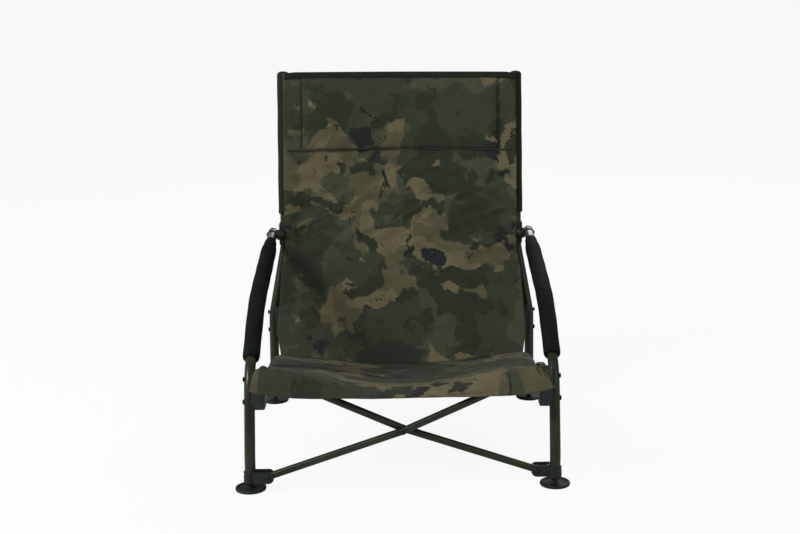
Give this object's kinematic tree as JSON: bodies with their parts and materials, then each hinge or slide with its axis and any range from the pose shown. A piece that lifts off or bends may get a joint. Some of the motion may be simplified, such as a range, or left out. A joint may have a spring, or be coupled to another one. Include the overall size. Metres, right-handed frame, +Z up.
{
  "type": "low folding fishing chair",
  "caption": "Low folding chair with a bent-tube frame, scissor cross bars, mud feet, padded arms and a cloth seat, back and head pocket.",
  "frame": {"origin": "on the floor, in the middle of the outline", "axes": "+X across the chair towards the right arm as seen from the front, +Y to the rear, +Z up"},
  "size_m": [0.59, 0.6502, 0.681],
  "materials": {
    "frame_tube": "satin",
    "foam_pad": "matt foam",
    "dark_plastic": "matt",
    "grey_plastic": "satin",
    "rivet": "blackened",
    "foot_rubber": "matt",
    "cloth": "printed camouflage",
    "webbing": "woven"
  },
  "bodies": {
    "left_frame": {"left_arm_and_front_leg": "frame_tube", "left_upright_and_rear_leg": "frame_tube", "left_arm_pad": "foam_pad", "left_arm_cap": "dark_plastic", "left_upright_cap": "dark_plastic", "left_arm_bracket": "dark_plastic", "left_arm_pin": "rivet", "left_front_corner_block": "grey_plastic", "left_rear_corner_block": "grey_plastic", "left_front_block_rivet_1": "rivet", "left_front_block_rivet_2": "rivet", "left_rear_block_rivet_1": "rivet", "left_rear_block_rivet_2": "rivet", "left_front_foot_hub": "dark_plastic", "left_rear_foot_hub": "dark_plastic", "left_front_lower_pin": "rivet", "left_rear_lower_pin": "rivet", "left_back_sleeve": "cloth", "back_panel": "cloth", "head_pocket": "cloth"},
    "right_frame": {"right_arm_and_front_leg": "frame_tube", "right_upright_and_rear_leg": "frame_tube", "right_arm_pad": "foam_pad", "right_arm_cap": "dark_plastic", "right_upright_cap": "dark_plastic", "right_arm_bracket": "dark_plastic", "right_arm_pin": "rivet", "right_front_corner_block": "grey_plastic", "right_rear_corner_block": "grey_plastic", "right_front_block_rivet_1": "rivet", "right_front_block_rivet_2": "rivet", "right_rear_block_rivet_1": "rivet", "right_rear_block_rivet_2": "rivet", "right_front_foot_hub": "dark_plastic", "right_rear_foot_hub": "dark_plastic", "right_front_lower_pin": "rivet", "right_rear_lower_pin": "rivet", "right_back_sleeve": "cloth"},
    "cross_a": {"front_cross_bar_a": "frame_tube", "rear_cross_bar_a": "frame_tube", "front_crossing_pin": "rivet", "rear_crossing_pin": "rivet"},
    "cross_b": {"front_cross_bar_b": "frame_tube", "rear_cross_bar_b": "frame_tube"},
    "left_hangers": {"left_front_seat_hanger": "grey_plastic", "left_rear_seat_hanger": "grey_plastic", "left_front_hanger_pin": "rivet", "left_rear_hanger_pin": "rivet", "left_seat_strap": "webbing", "seat_sling": "cloth"},
    "right_hangers": {"right_front_seat_hanger": "grey_plastic", "right_rear_seat_hanger": "grey_plastic", "right_front_hanger_pin": "rivet", "right_rear_hanger_pin": "rivet", "right_seat_strap": "webbing"},
    "left_front_foot": {"left_front_mud_foot": "foot_rubber"},
    "left_rear_foot": {"left_rear_mud_foot": "foot_rubber"},
    "right_front_foot": {"right_front_mud_foot": "foot_rubber"},
    "right_rear_foot": {"right_rear_mud_foot": "foot_rubber"}
  },
  "joints": [
    {"name": "fold", "type": "hinge", "parent": "left_frame", "child": "cross_a", "pos_m": [-0.236, -0.2981, 0.026], "axis": [0, -1, 0], "range_deg": [0, 58], "deforming": ["seat_sling", "back_panel", "head_pocket", "left_seat_strap", "right_seat_strap"]},
    {"name": "crossing", "type": "hinge", "parent": "cross_a", "child": "cross_b", "pos_m": [0, -0.2981, 0.106], "axis": [0, -1, 0], "range_deg": [-116, 0]},
    {"name": "right_lower", "type": "hinge", "parent": "cross_b", "child": "right_frame", "pos_m": [0.236, -0.2981, 0.026], "axis": [0, -1, 0], "range_deg": [0, 58]},
    {"name": "right_upper", "type": "hinge", "parent": "cross_a", "child": "right_hangers", "pos_m": [0.241, -0.2981, 0.214], "axis": [0, -1, 0], "range_deg": [-58, 0]},
    {"name": "left_upper", "type": "hinge", "parent": "cross_b", "child": "left_hangers", "pos_m": [-0.241, -0.2981, 0.214], "axis": [0, -1, 0], "range_deg": [0, 58]},
    {"name": "left_front_foot_swivel", "type": "hinge", "parent": "left_frame", "child": "left_front_foot", "pos_m": [-0.268, -0.2981, 0.0155], "axis": [1, 0, 0], "range_deg": [-10, 10]},
    {"name": "left_rear_foot_swivel", "type": "hinge", "parent": "left_frame", "child": "left_rear_foot", "pos_m": [-0.268, 0.2019, 0.0155], "axis": [1, 0, 0], "range_deg": [-10, 10]},
    {"name": "right_front_foot_swivel", "type": "hinge", "parent": "right_frame", "child": "right_front_foot", "pos_m": [0.268, -0.2981, 0.0155], "axis": [1, 0, 0], "range_deg": [-10, 10]},
    {"name": "right_rear_foot_swivel", "type": "hinge", "parent": "right_frame", "child": "right_rear_foot", "pos_m": [0.268, 0.2019, 0.0155], "axis": [1, 0, 0], "range_deg": [-10, 10]}
  ],
  "couplings": [
    {"joint": "crossing", "follows": "fold", "ratio": -2},
    {"joint": "right_lower", "follows": "fold", "ratio": 1},
    {"joint": "right_upper", "follows": "fold", "ratio": -1},
    {"joint": "left_upper", "follows": "fold", "ratio": 1}
  ]
}
